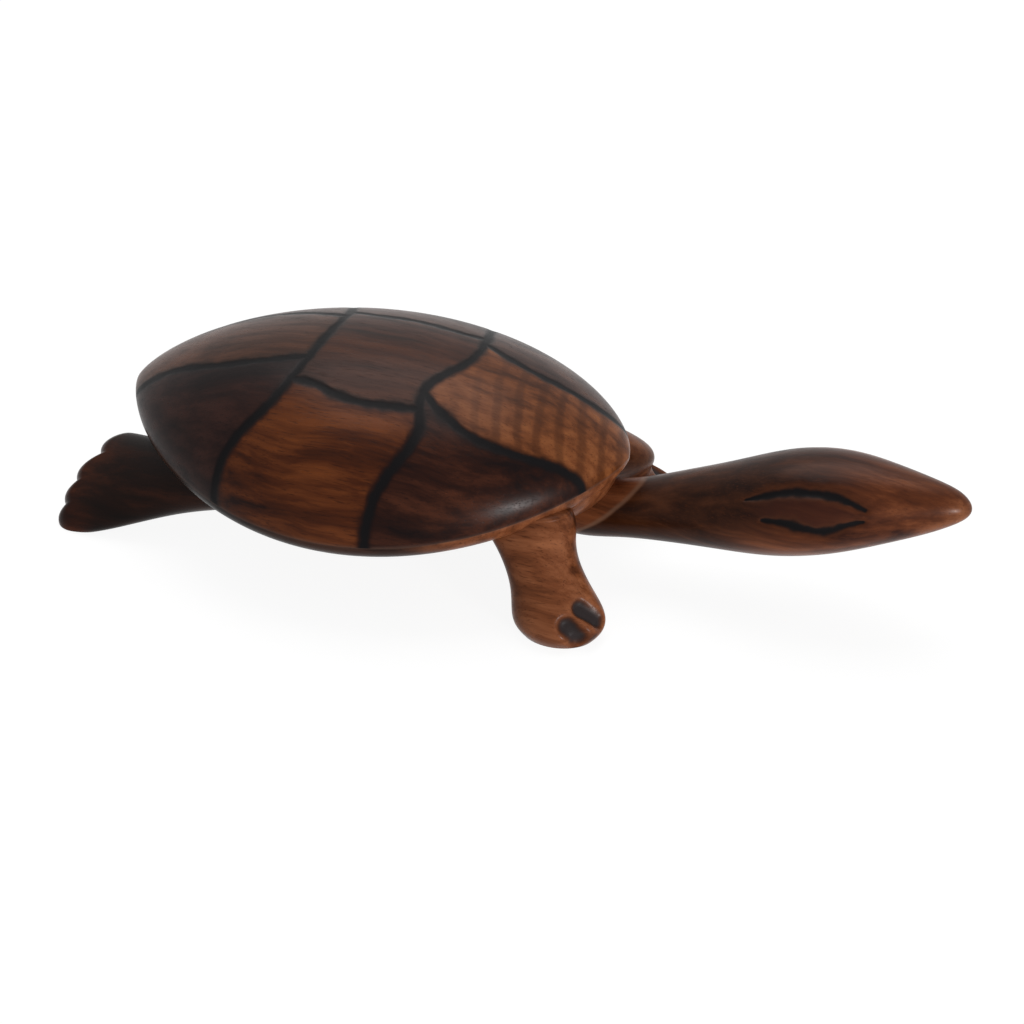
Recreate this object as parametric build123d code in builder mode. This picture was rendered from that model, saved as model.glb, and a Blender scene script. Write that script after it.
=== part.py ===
from build123d import *
import os
from math import cos, pi, radians, sin

os.makedirs("parts", exist_ok=True)

# A carved wooden turtle, in millimetres.
# +X runs to the snout, +Z is up, and the feet stand on Z = 0.
# Its burnt grooves, and the creases where the limbs meet the body, bound the pieces below.

# Shell
shell_length = 60.0
shell_width = 42.4
dome_height = 14.2
side_rim_height = 10.0
tip_rim_lift = 4.4
rim_drop = 2.4
rim_tuck = 3.4
scute_thickness = 1.2
scute_edge_rise = 0.3
groove_width = 1.6

# Belly
belly_length = 54.0
belly_offset = 1.6
belly_width = 29.0
belly_clearance = 4.2
belly_end_rise = 1.6
belly_top_gap = 1.0

# Neck and head
snout_reach = 68.4
snout_height = 15.4
neck_start = 18.0
neck_height = 8.0
neck_width = 7.2
neck_depth = 6.7
head_width = 13.4
head_depth = 11.5
eye_setback = 17.2
eye_length = 13.2
eye_stroke_width = 1.1
eye_top_angle = 46.0
eye_bottom_angle = 0.0
eye_corner_angle = 22.0
eye_corner_gap = 12.0

# Front legs
front_foot_reach = 26.8
front_foot_spread = 14.7
front_foot_length = 10.2
front_foot_width = 8.2
shoulder_reach = 18.9
shoulder_spread = 7.5
shoulder_height = 12.5
toe_gouge_width = 1.5
toe_gouge_length = 3.6

# Hind legs
hind_foot_reach = 31.0
hind_foot_spread = 8.5
hind_foot_height = 4.2
hind_foot_width = 12.8
hind_foot_thickness = 5.2
hind_foot_tilt = 37.5
hip_reach = 13.0
hip_spread = 9.0
hip_height = 8.4
toe_radius = 1.9
toe_spacing = 3.0
toe_shift = 0.3
toe_lead = 2.9
toe_fall = 4.0
toe_count = 4

# One length runs every cutter past what it cuts.
overrun = 4.0

# Curves of the shell and belly, as powers of one minus the square of the share along the length
rim_curve_power = 0.66
dome_curve_power = 0.81
edge_curve_power = 0.3
belly_curve_power = 0.4
keel_curve_power = 0.3
front_fullness_share = 0.05
shell_steps = 14
belly_steps = 10

# Grooves in plan, as shares of the shell's half-length and half-width from its centre
rear_cross_groove_shares = [
    (-0.45, 1.10), (-0.40, 0.86), (-0.28, 0.62), (-0.20, 0.35), (-0.19, 0.09),
    (-0.20, -0.22), (-0.23, -0.44), (-0.28, -0.61), (-0.36, -0.74), (-0.41, -0.86), (-0.44, -1.10),
]
front_cross_groove_shares = [
    (0.22, 1.10), (0.27, 0.80), (0.32, 0.58), (0.36, 0.35), (0.38, 0.15),
    (0.35, -0.08), (0.29, -0.27), (0.29, -0.42), (0.32, -0.56), (0.29, -0.74), (0.24, -0.88), (0.20, -1.10),
]
long_groove_shares = [
    [(-1.05, -0.20), (-0.90, -0.24), (-0.73, -0.255), (-0.57, -0.29), (-0.40, -0.28), (-0.19, -0.23)],
    [(-0.21, -0.41), (-0.12, -0.43), (-0.04, -0.47), (0.08, -0.50), (0.20, -0.48), (0.31, -0.45)],
    [(0.28, -0.34), (0.38, -0.43), (0.50, -0.49), (0.63, -0.48), (0.76, -0.42), (0.89, -0.35), (1.03, -0.27)],
    [(-1.05, 0.20), (-0.90, 0.25), (-0.70, 0.29), (-0.50, 0.31), (-0.33, 0.30), (-0.19, 0.27)],
    [(-0.21, 0.35), (-0.06, 0.33), (0.06, 0.34), (0.17, 0.33), (0.27, 0.32), (0.37, 0.34)],
    [(0.37, 0.27), (0.50, 0.19), (0.60, 0.16), (0.72, 0.16), (0.84, 0.17), (0.94, 0.20), (1.05, 0.26)],
]

# Neck sections: share of the way to the snout, share of the rise, share of width, share of depth
neck_section_shares = [
    (0.0, 0.12, 1.0, 0.80), (0.119, -0.07, 0.98, 1.03), (0.238, 0.0, 1.0, 1.0), (0.357, 0.186, 1.19, 1.21),
]
head_section_shares = [
    (0.476, 0.380, 0.82, 0.86), (0.595, 0.586, 0.99, 1.0), (0.714, 0.755, 0.965, 0.96),
    (0.833, 0.876, 0.70, 0.725), (0.933, 0.965, 0.41, 0.45), (0.980, 1.0, 0.225, 0.25),
]

# Front leg sections: share of the height, share of the lean to the shoulder, shares of length and width
front_leg_section_shares = [
    (0.0, 0.0, 0.82, 0.82), (0.08, 0.0, 0.97, 0.97), (0.20, 0.02, 1.02, 1.02), (0.36, 0.16, 0.90, 0.96),
    (0.56, 0.39, 0.80, 0.91), (0.84, 0.80, 0.86, 0.86), (1.0, 1.0, 0.90, 0.75),
]

# Hind leg sections: share of the way from hip to foot, shares of width and thickness
hind_leg_section_shares = [
    (0.0, 0.55, 1.15), (0.40, 0.64, 1.12), (0.72, 0.84, 1.04), (1.0, 1.0, 1.0), (1.35, 1.03, 0.77),
]

# Toe gouges on the front foot's surface: upper end and a place lower down, each as shares of the
# foot's length and width from its middle and of the shoulder's height
toe_gouge_shares = [
    ((0.227, -0.148, 0.375), (0.483, -0.046, 0.222)),
    ((0.171, -0.399, 0.272), (0.314, -0.354, 0.112)),
]

# The scutes' lower edges along the shell, as shares of the way from its middle to past its tips
ledge_shares = [-1.0, -0.5, 0.0, 0.5, 1.0]

# Places worked out from the sizes above
half_length = shell_length / 2
half_width = shell_width / 2
toe_reach = hind_foot_reach + toe_lead + toe_radius
shell_x = (toe_reach - snout_reach) / 2


def taper(t, power):
    """One at the middle of a length and nothing at its two ends."""
    return max(1 - t * t, 0) ** power


def between(start, end, share):
    """The value a share of the way from start to end."""
    return start + (end - start) * share


def rim_height(t):
    """Height of the rim, which rises from the sides to both tips."""
    return side_rim_height + tip_rim_lift * t * t


def shell_size(t, inset):
    """Half-width and dome height of the shell at a share of its half-length."""
    fullness = 1 + front_fullness_share * t
    width = (half_width - inset) * taper(t, rim_curve_power) * fullness
    height = (dome_height - inset) * taper(t, dome_curve_power)
    return width, height


def shell_section(t):
    """Dome above the rim and the rolled edge below it, as one closed outline across the shell."""
    width, height = shell_size(t, 0)
    tuck = rim_tuck * width / half_width
    drop = rim_drop * taper(t, edge_curve_power)
    rim = rim_height(t)
    with BuildSketch(Plane.YZ.offset(shell_x + half_length * t)) as section:
        with BuildLine():
            EllipticalCenterArc((0, rim), width, height, arc_size=180)
            left_edge = EllipticalCenterArc((tuck - width, rim), tuck, drop, 180, arc_size=90)
            right_edge = EllipticalCenterArc((width - tuck, rim), tuck, drop, 270, arc_size=90)
            Line(left_edge @ 1, right_edge @ 0)
        make_face()
    return section.sketch.face()


def core_section(t):
    """The dome under the scutes, as a closed half ellipse across the shell."""
    width, height = shell_size(t, scute_thickness)
    with BuildSketch(Plane.YZ.offset(shell_x + core_reach * t)) as section:
        with BuildLine():
            dome = EllipticalCenterArc((0, rim_height(t)), width, height, arc_size=180)
            Line(dome @ 1, dome @ 0)
        make_face()
    return section.sketch.face()


def stations(steps):
    """Shares along a length, closer together towards both ends."""
    return [-cos(pi * step / steps) for step in range(1, steps)]


def oval_section(plane, width, depth, turn=0.0):
    """An oval of whole width and depth at the plane's origin."""
    with BuildSketch(plane) as section:
        Ellipse(width / 2, depth / 2, rotation=turn)
    return section.sketch.face()


def across(x, y, z):
    """Plane across the body at a point, with its own X to the left and its own Y up."""
    return Plane(origin=(x, y, z), x_dir=(0, 1, 0), z_dir=(1, 0, 0))


# Whole shell, before the grooves split its scutes from it
core_reach = half_length - scute_thickness
tip_height = rim_height(1)

with BuildPart() as whole_shell:
    rear_tip = Vertex(shell_x - half_length, 0, tip_height)
    front_tip = Vertex(shell_x + half_length, 0, tip_height)
    loft(sections=[rear_tip, *[shell_section(t) for t in stations(shell_steps)], front_tip])

# Everything below the scutes' lower edges
with BuildPart() as under_scutes:
    with BuildSketch(Plane.XZ):
        with BuildLine():
            reach = half_length + overrun
            ledge_points = [
                (shell_x + reach * share, rim_height(reach * share / half_length) + scute_edge_rise)
                for share in ledge_shares
            ]
            ledge = Spline(*ledge_points)
            Polyline(ledge @ 0, (shell_x - reach, -overrun), (shell_x + reach, -overrun), ledge @ 1)
        make_face()
    extrude(amount=half_width + overrun, both=True)

with BuildPart() as shell_core:
    rear_end = Vertex(shell_x - core_reach, 0, tip_height)
    front_end = Vertex(shell_x + core_reach, 0, tip_height)
    loft(sections=[rear_end, *[core_section(t) for t in stations(shell_steps)], front_end])
    add(under_scutes.part)

# Shell block: the bed of the burnt grooves and the rolled rim
with BuildPart() as shell_block:
    add(whole_shell.part)
    add(shell_core.part, mode=Mode.INTERSECT)

# Grooves, cut straight down through the scute layer
with BuildPart() as grooves:
    with BuildSketch(Plane.XY.offset(side_rim_height)):
        for shares in [rear_cross_groove_shares, front_cross_groove_shares, *long_groove_shares]:
            with BuildLine():
                Spline(*[(shell_x + half_length * along, half_width * aside) for along, aside in shares])
            trace(line_width=groove_width)
    extrude(amount=tip_rim_lift + dome_height + overrun)

with BuildPart() as scute_layer:
    add(whole_shell.part)
    add(shell_core.part, mode=Mode.SUBTRACT)
    add(grooves.part, mode=Mode.SUBTRACT)


# Belly, under the shell
def belly_section(t):
    """An oval hull whose upper half lies inside the shell."""
    x = belly_offset + belly_length / 2 * t
    top = rim_height(x / half_length) - belly_top_gap
    bottom = belly_clearance + belly_end_rise * t * t
    width = belly_width * taper(t, belly_curve_power)
    depth = 2 * (top - bottom) * taper(t, keel_curve_power)
    return oval_section(across(shell_x + x, 0, top), width, depth)


with BuildPart() as belly:
    rear_x = belly_offset - belly_length / 2
    front_x = belly_offset + belly_length / 2
    rear_end = Vertex(shell_x + rear_x, 0, rim_height(rear_x / half_length) - belly_top_gap)
    front_end = Vertex(shell_x + front_x, 0, rim_height(front_x / half_length) - belly_top_gap)
    loft(sections=[rear_end, *[belly_section(t) for t in stations(belly_steps)], front_end])
    add(under_scutes.part, mode=Mode.INTERSECT)
    add(whole_shell.part, mode=Mode.SUBTRACT)


# Neck and head
def neck_sections():
    """Centre, width and depth of each oval from the neck's root to the snout."""
    reach = snout_reach - neck_start
    rise = snout_height - neck_height
    rows = [(row, neck_width, neck_depth) for row in neck_section_shares]
    rows += [(row, head_width, head_depth) for row in head_section_shares]
    return [
        (shell_x + neck_start + reach * along, neck_height + rise * up, width * wide, depth * deep)
        for (along, up, wide, deep), width, depth in rows
    ]


def head_point(x, angle):
    """A point on the head's right side at X, turned up from the horizontal by an angle."""
    rows = neck_sections()
    for low, high in zip(rows, rows[1:]):
        if low[0] <= x <= high[0]:
            share = (x - low[0]) / (high[0] - low[0])
            z, width, depth = [between(low[i], high[i], share) for i in (1, 2, 3)]
            return (x, -width / 2 * cos(radians(angle)), z + depth / 2 * sin(radians(angle)))


def eye_stroke(middle_angle, corner_angle):
    """A round gouge along one lid of the right eye."""
    eye_x = shell_x + snout_reach - eye_setback
    ends = [head_point(eye_x + eye_length / 2 * end, corner_angle) for end in (-1, 1)]
    middle = head_point(eye_x, middle_angle)
    with BuildPart() as stroke:
        with BuildLine():
            lid = ThreePointArc(ends[0], middle, ends[1])
        with BuildSketch(Plane(origin=lid @ 0, z_dir=lid % 0)):
            Circle(eye_stroke_width / 2)
        sweep()
    return stroke.part


upper_lid = eye_stroke(eye_top_angle, eye_corner_angle + eye_corner_gap / 2)
lower_lid = eye_stroke(eye_bottom_angle, eye_corner_angle - eye_corner_gap / 2)

with BuildPart() as neck_and_head:
    ovals = [oval_section(across(x, 0, z), width, depth) for x, z, width, depth in neck_sections()]
    loft(sections=[*ovals, Vertex(shell_x + snout_reach, 0, snout_height)])
    add([upper_lid, lower_lid], mode=Mode.SUBTRACT)
    add([upper_lid.mirror(Plane.XZ), lower_lid.mirror(Plane.XZ)], mode=Mode.SUBTRACT)
    add(whole_shell.part, mode=Mode.SUBTRACT)
    add(belly.part, mode=Mode.SUBTRACT)


# Front legs
def front_leg_section(height, lean, length, width):
    """A level oval on the way up from the foot to the shoulder."""
    x = shell_x + between(front_foot_reach, shoulder_reach, lean)
    y = -between(front_foot_spread, shoulder_spread, lean)
    plane = Plane(origin=(x, y, shoulder_height * height))
    return oval_section(plane, front_foot_length * length, front_foot_width * width)


def foot_point(along, aside, up):
    """A place on the right front foot, in shares of its length, width and the shoulder's height."""
    x = shell_x + front_foot_reach + front_foot_length * along
    y = -front_foot_spread + front_foot_width * aside
    return Vector(x, y, shoulder_height * up)


with BuildPart() as front_right_leg:
    loft(sections=[front_leg_section(*row) for row in front_leg_section_shares])
    for upper_shares, lower_shares in toe_gouge_shares:
        upper = foot_point(*upper_shares)
        lower = foot_point(*lower_shares)
        way = (lower - upper).normalized()
        with BuildSketch(Plane(origin=upper, z_dir=way)):
            Circle(toe_gouge_width / 2)
        extrude(amount=toe_gouge_length, mode=Mode.SUBTRACT)
    add(under_scutes.part, mode=Mode.INTERSECT)
    for neighbour in (whole_shell, belly, neck_and_head):
        add(neighbour.part, mode=Mode.SUBTRACT)

with BuildPart() as front_left_leg:
    add(front_right_leg.part.mirror(Plane.XZ))


# Hind legs
def hind_leg_section(along, width, thickness):
    """A tilted oval across the leg on the way from hip to toes."""
    x = shell_x - between(hip_reach, hind_foot_reach, along)
    y = -between(hip_spread, hind_foot_spread, along)
    plane = across(x, y, between(hip_height, hind_foot_height, along))
    return oval_section(plane, hind_foot_width * width, hind_foot_thickness * thickness, hind_foot_tilt)


def toe_centers():
    """Centres of the toe tips in the sole's plane, from the outer toe to the inner one."""
    last = toe_count - 1
    return [
        (toe_lead - toe_fall * toe / last, toe_spacing * (last / 2 - toe) + toe_shift)
        for toe in range(toe_count)
    ]


sole_normal = (0, -sin(radians(hind_foot_tilt)), cos(radians(hind_foot_tilt)))
sole_center = (shell_x - hind_foot_reach, -hind_foot_spread, hind_foot_height)
sole = Plane(origin=sole_center, x_dir=(-1, 0, 0), z_dir=sole_normal)

with BuildPart() as toe_outline:
    with BuildSketch(sole):
        tips = toe_centers()
        side = hind_foot_width
        with BuildLine():
            outer_edge = [(-hind_foot_reach, side), (tips[0][0], side)]
            inner_edge = [(tips[-1][0], -side), (-hind_foot_reach, -side)]
            Polyline(*outer_edge, *tips, *inner_edge, close=True)
        make_face()
        with Locations(*tips):
            Circle(toe_radius)
    extrude(amount=hind_foot_width, both=True)

with BuildPart() as above_ground:
    with Locations((shell_x, 0, 0)):
        Box(
            2 * snout_reach, shell_width, shell_length,
            align=(Align.CENTER, Align.CENTER, Align.MIN),
        )

with BuildPart() as hind_right_leg:
    loft(sections=[hind_leg_section(*row) for row in hind_leg_section_shares])
    add(toe_outline.part, mode=Mode.INTERSECT)
    add(above_ground.part, mode=Mode.INTERSECT)
    for neighbour in (whole_shell, belly):
        add(neighbour.part, mode=Mode.SUBTRACT)

with BuildPart() as hind_left_leg:
    add(hind_right_leg.part.mirror(Plane.XZ))

# The scutes, row by row from the rear, and from right to left in each row
scute_rows = ("rear", "middle", "front")
scute_sides = ("right", "center", "left")
by_length = scute_layer.solids().sort_by(Axis.X)
scutes = {}
for index, row in enumerate(scute_rows):
    first = index * len(scute_sides)
    row_solids = by_length[first:first + len(scute_sides)].sort_by(Axis.Y)
    for side, solid in zip(scute_sides, row_solids):
        scutes[f"scute_{side}_{row}"] = solid

pieces = {
    "shell_block": shell_block,
    "belly": belly,
    "neck_and_head": neck_and_head,
    "front_right_leg": front_right_leg,
    "front_left_leg": front_left_leg,
    "hind_right_leg": hind_right_leg,
    "hind_left_leg": hind_left_leg,
}
for name, solid in scutes.items():
    with BuildPart() as scute:
        add(solid)
    pieces[name] = scute

for name, piece in pieces.items():
    piece.part.label = name
    export_step(piece.part, f"parts/{name}.step")
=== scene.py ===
from math import pi, radians

import bpy
import numpy as np
from bpy.props import FloatProperty, FloatVectorProperty, PointerProperty
from mathutils import Matrix, Vector


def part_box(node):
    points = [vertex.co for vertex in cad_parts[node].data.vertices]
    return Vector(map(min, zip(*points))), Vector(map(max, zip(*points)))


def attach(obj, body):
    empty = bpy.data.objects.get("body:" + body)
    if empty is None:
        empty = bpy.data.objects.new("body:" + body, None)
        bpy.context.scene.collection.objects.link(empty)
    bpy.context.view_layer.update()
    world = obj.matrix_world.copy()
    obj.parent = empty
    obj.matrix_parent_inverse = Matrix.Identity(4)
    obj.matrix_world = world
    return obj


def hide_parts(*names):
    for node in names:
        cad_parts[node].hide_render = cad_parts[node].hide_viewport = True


bl_info = {
    "name": "Carved wooden turtle",
    "version": (1, 0, 0),
    "blender": (4, 5, 0),
    "location": "3D View > Sidebar > Turtle",
    "description": "Carves the pieces of a small wooden turtle and sets them in a pale studio",
    "category": "Object",
}

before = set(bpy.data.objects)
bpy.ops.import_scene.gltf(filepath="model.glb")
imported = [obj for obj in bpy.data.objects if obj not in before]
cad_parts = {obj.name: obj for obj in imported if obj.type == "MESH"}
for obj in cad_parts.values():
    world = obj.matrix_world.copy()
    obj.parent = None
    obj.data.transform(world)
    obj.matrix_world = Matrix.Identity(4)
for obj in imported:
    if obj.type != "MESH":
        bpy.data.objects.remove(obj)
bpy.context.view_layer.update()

tiny = 1e-9
mm = 0.001

# Places read from the frame, in metres
block_low, block_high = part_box("shell_block")
shell_x = (block_low.x + block_high.x) / 2
half_length = (block_high.x - block_low.x) / 2
dome_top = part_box("scute_center_middle")[1].z
snout_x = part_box("neck_and_head")[1].x

# Dome: powers that make its sides and its top full, and how much wider its front half is
side_power = 0.32
top_power = 0.62
front_share = 0.05

# Width at the shell's middle, from the block's width at its widest place and a hair inside the solid
sweep = np.linspace(-1, 1, 2001)
widest_share = ((1 - sweep**2) ** ((1 + side_power) / 2) * (1 + front_share * sweep)).max()
inside_solid = 0.01 * mm
shell_width = (block_high.y - block_low.y) / widest_share - inside_solid

# Grooves in plan, as shares of the shell's half-length and half-width from its centre
rear_cross_shares = [
    (-0.45, 1.10), (-0.40, 0.86), (-0.28, 0.62), (-0.20, 0.35), (-0.19, 0.09),
    (-0.20, -0.22), (-0.23, -0.44), (-0.28, -0.61), (-0.36, -0.74), (-0.41, -0.86), (-0.44, -1.10),
]
front_cross_shares = [
    (0.22, 1.10), (0.27, 0.80), (0.32, 0.58), (0.36, 0.35), (0.38, 0.15), (0.35, -0.08),
    (0.29, -0.27), (0.29, -0.42), (0.32, -0.56), (0.29, -0.74), (0.24, -0.88), (0.20, -1.10),
]
long_groove_shares = {
    "right_rear": [
        (-1.05, -0.20), (-0.90, -0.24), (-0.73, -0.255), (-0.57, -0.29), (-0.40, -0.28), (-0.19, -0.23),
    ],
    "right_middle": [
        (-0.21, -0.41), (-0.12, -0.43), (-0.04, -0.47), (0.08, -0.50), (0.20, -0.48), (0.31, -0.45),
    ],
    "right_front": [
        (0.28, -0.34), (0.38, -0.43), (0.50, -0.49), (0.63, -0.48), (0.76, -0.42), (0.89, -0.35),
        (1.03, -0.27),
    ],
    "left_rear": [
        (-1.05, 0.20), (-0.90, 0.25), (-0.70, 0.29), (-0.50, 0.31), (-0.33, 0.30), (-0.19, 0.27),
    ],
    "left_middle": [
        (-0.21, 0.35), (-0.06, 0.33), (0.06, 0.34), (0.17, 0.33), (0.27, 0.32), (0.37, 0.34),
    ],
    "left_front": [
        (0.37, 0.27), (0.50, 0.19), (0.60, 0.16), (0.72, 0.16), (0.84, 0.17), (0.94, 0.20), (1.05, 0.26),
    ],
}

# Widths of the grooves' runout and of the painted highlight line along the rim's edge, as shares of the
# disc's radius
runout_share = 0.05
painted_rim_highlight_share = 0.011

# Neck and head: shares of the way to the snout, of the rise, of the width and of the depth
neck_shares = [
    (0.0, 0.12, 1.0, 0.80), (0.119, -0.07, 0.98, 1.03), (0.238, 0.0, 1.0, 1.0), (0.357, 0.186, 1.19, 1.21),
]
head_shares = [
    (0.476, 0.380, 0.82, 0.86), (0.595, 0.586, 0.99, 1.0), (0.714, 0.755, 0.965, 0.96),
    (0.833, 0.876, 0.70, 0.725), (0.933, 0.965, 0.41, 0.45), (0.980, 1.0, 0.225, 0.25), (1.0, 1.0, 0.0, 0.0),
]

# Lids of the right eye: share from the eye's middle to its corner, degrees above the horizontal,
# and share of the stroke's width
upper_lid_shares = [
    (-1.0, 38.0, 0.35), (-0.6, 41.8, 0.9), (-0.25, 44.1, 1.1), (0.08, 43.1, 1.0), (0.6, 37.6, 0.95),
    (1.0, 24.5, 0.45),
]
lower_lid_shares = [
    (-0.66, 14.0, 0.4), (-0.40, 12.0, 0.9), (-0.18, 9.0, 1.1), (0.18, 1.4, 1.0), (0.44, -1.0, 1.05),
    (0.76, 5.5, 0.8), (1.0, 8.0, 0.35),
]

# Island within each eye: it fades over some degrees to the lids and over a share to the corners
soft_degrees = 9.0
corner_share = 0.45

# Front leg: shares of the height, of the lean to the shoulder, of the foot's length and width
front_leg_shares = [
    (0.0, 0.0, 0.82, 0.82), (0.08, 0.0, 0.97, 0.97), (0.20, 0.02, 1.02, 1.02), (0.36, 0.16, 0.90, 0.96),
    (0.56, 0.39, 0.84, 0.93), (0.72, 0.56, 0.95, 0.93), (0.84, 0.70, 1.05, 0.92), (0.94, 0.80, 0.95, 0.85),
]

# Toe gouges of the right foot, each from its upper to its lower end: shares of the foot's length and
# width from its middle, and of the shoulder's height
toe_gouge_shares = [
    ((0.285, -0.125, 0.340), (0.470, -0.052, 0.230)),
    ((0.195, -0.391, 0.245), (0.300, -0.358, 0.128)),
]

# Swellings in front of the shoulders: middle and reach as shares of the height, and strength
far_swell_shares = [(0.66, 0.20, 1.0), (0.34, 0.14, -0.6)]
near_swell_shares = [(0.96, 0.12, 1.0)]

# Hind leg: shares of the way from hip to foot, of the foot's width and thickness
hind_leg_shares = [
    (0.0, 0.55, 1.15), (0.40, 0.64, 1.12), (0.72, 0.84, 1.04), (1.0, 1.0, 1.0), (1.35, 1.03, 0.77),
]

# Toes from the outer to the inner one: place across the paddle and reach, as shares of its width
# and of the lead
toe_shares = [(0.344, 1.0), (0.164, 0.98), (-0.039, 0.83), (-0.305, 0.42)]
toe_softness = 0.10 * mm
paddle_rounding = 1.5 * mm


def size(name, default, description):
    """A length that a user can change."""
    return FloatProperty(
        name=name, description=description, default=default, unit="LENGTH", precision=4, min=0.0,
    )


def tint(name, default, description):
    """A colour that a user can change."""
    return FloatVectorProperty(
        name=name, description=description, default=default, subtype="COLOR", min=0.0, max=1.0,
    )


class TurtleShell(bpy.types.PropertyGroup):
    """Sizes of the shell and its grooves"""
    width: size("Width", shell_width, "Across the shell at its middle")
    rim_height: size("Rim height", 10.0 * mm, "Height of the rim at the sides")
    tip_lift: size("Tip lift", 4.4 * mm, "How far the rim rises towards both tips")
    rim_drop: size("Rim drop", 2.4 * mm, "Depth of the rolled edge under the rim")
    rim_tuck: size("Rim tuck", 3.4 * mm, "How far the rolled edge turns in")
    scute_thickness: size("Scute thickness", 1.2 * mm, "From a scute's face to the bed under it")
    groove_depth: size("Groove depth", 1.0 * mm, "Depth of the burnt grooves")
    groove_reach: size("Groove reach", 0.50 * mm, "From a groove's middle to its steep side")
    shoulder_reach: size("Shoulder reach", 1.4 * mm, "From a groove's middle to the scute's full height")


class TurtleBelly(bpy.types.PropertyGroup):
    """Sizes of the belly"""
    length: size("Length", 54.0 * mm, "From the belly's rear end to its front end")
    offset: size("Offset", 1.6 * mm, "From the shell's middle to the belly's middle")
    width: size("Width", 29.0 * mm, "Across the belly at its middle")
    clearance: size("Clearance", 4.2 * mm, "From the ground to the belly's middle")
    end_rise: size("End rise", 1.6 * mm, "How far the keel rises to both ends")
    top_gap: size("Top gap", 1.0 * mm, "From the rim down to the belly's widest place")


class TurtleHead(bpy.types.PropertyGroup):
    """Sizes of the neck, the head and the eyes"""
    neck_start: size("Neck start", 18.0 * mm, "From the shell's middle to the neck's root")
    neck_height: size("Neck height", 8.0 * mm, "Height of the neck's root")
    neck_width: size("Neck width", 7.2 * mm, "Across the neck")
    neck_depth: size("Neck depth", 6.7 * mm, "From the neck's top to its underside")
    snout_height: size("Snout height", 15.4 * mm, "Height of the snout's tip")
    head_width: size("Head width", 13.4 * mm, "Across the head at its widest")
    head_depth: size("Head depth", 11.5 * mm, "From the head's top to its chin")
    eye_setback: size("Eye setback", 17.2 * mm, "From the snout's tip back to the middle of the eye")
    eye_length: size("Eye length", 13.2 * mm, "From corner to corner of the eye")
    stroke_reach: size("Stroke reach", 0.72 * mm, "Half the width of an eye stroke")
    stroke_depth: size("Stroke depth", 0.28 * mm, "Depth of an eye stroke")


class TurtleFrontLegs(bpy.types.PropertyGroup):
    """Sizes of the front legs"""
    foot_reach: size("Foot reach", 26.8 * mm, "From the shell's middle to the foot's middle")
    foot_spread: size("Foot spread", 14.7 * mm, "From the midline to the foot's middle")
    foot_length: size("Foot length", 10.2 * mm, "Length of the foot")
    foot_width: size("Foot width", 8.2 * mm, "Width of the foot")
    shoulder_reach: size("Shoulder reach", 18.9 * mm, "From the shell's middle to the shoulder")
    shoulder_spread: size("Shoulder spread", 7.5 * mm, "From the midline to the shoulder")
    shoulder_height: size("Shoulder height", 12.5 * mm, "Height of the shoulder")
    far_fullness: size("Far fullness", 2.2 * mm, "How much further forward the left shoulder swells")
    near_fullness: size("Near fullness", 0.8 * mm, "How much further forward the right shoulder swells")
    gouge_reach: size("Gouge reach", 1.10 * mm, "Half the width of a toe gouge")
    gouge_depth: size("Gouge depth", 0.8 * mm, "Depth of a toe gouge")


class TurtleHindLegs(bpy.types.PropertyGroup):
    """Sizes of the hind legs"""
    hip_reach: size("Hip reach", 13.0 * mm, "From the shell's middle back to the hip")
    hip_spread: size("Hip spread", 9.0 * mm, "From the midline to the hip")
    hip_height: size("Hip height", 8.4 * mm, "Height of the hip")
    foot_reach: size("Foot reach", 31.0 * mm, "From the shell's middle back to the foot")
    foot_spread: size("Foot spread", 8.5 * mm, "From the midline to the foot")
    foot_height: size("Foot height", 4.2 * mm, "Height of the foot's middle")
    foot_width: size("Foot width", 12.8 * mm, "Width of the paddle")
    foot_thickness: size("Foot thickness", 5.2 * mm, "Thickness of the paddle")
    foot_tilt: FloatProperty(
        name="Foot tilt", description="Turn of the paddle about the body's length", default=radians(37.5),
        subtype="ANGLE",
    )
    toe_radius: size("Toe radius", 1.9 * mm, "Radius of a toe's tip")
    toe_lead: size("Toe lead", 4.8 * mm, "How far the longest toe runs past the foot's middle")
    far_pull: size("Far pull", 0.9 * mm, "How much shorter the left paddle is")


class TurtleWood(bpy.types.PropertyGroup):
    """Colours of marks and of the floor"""
    char: tint("Char", (0.0035, 0.003, 0.0035), "The burnt wood of the grooves")
    # The toe gouges' own colour is a dark stain, lightened to grey as a painted sheen on their floors
    gouge: tint("Gouge", (0.022, 0.017, 0.017), "The stained wood between the toes")
    island: tint("Eye island", (0.024, 0.006, 0.004), "The wood between an eye's strokes")
    # Painted highlight: a pale line along the rim's edge, standing in for the sheen that the convex edge
    # catches
    painted_rim_highlight: tint("Painted rim highlight", (0.075, 0.045, 0.035), "The pale line along the rim")
    # Painted sheen: a pale line in the crease round the neck's root, standing in for the light caught there
    painted_crease_sheen: tint("Painted crease sheen", (0.20, 0.11, 0.07), "The pale line round the neck's root")
    backdrop: tint("Backdrop", (0.90, 0.90, 0.90), "The floor under the turtle")


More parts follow.
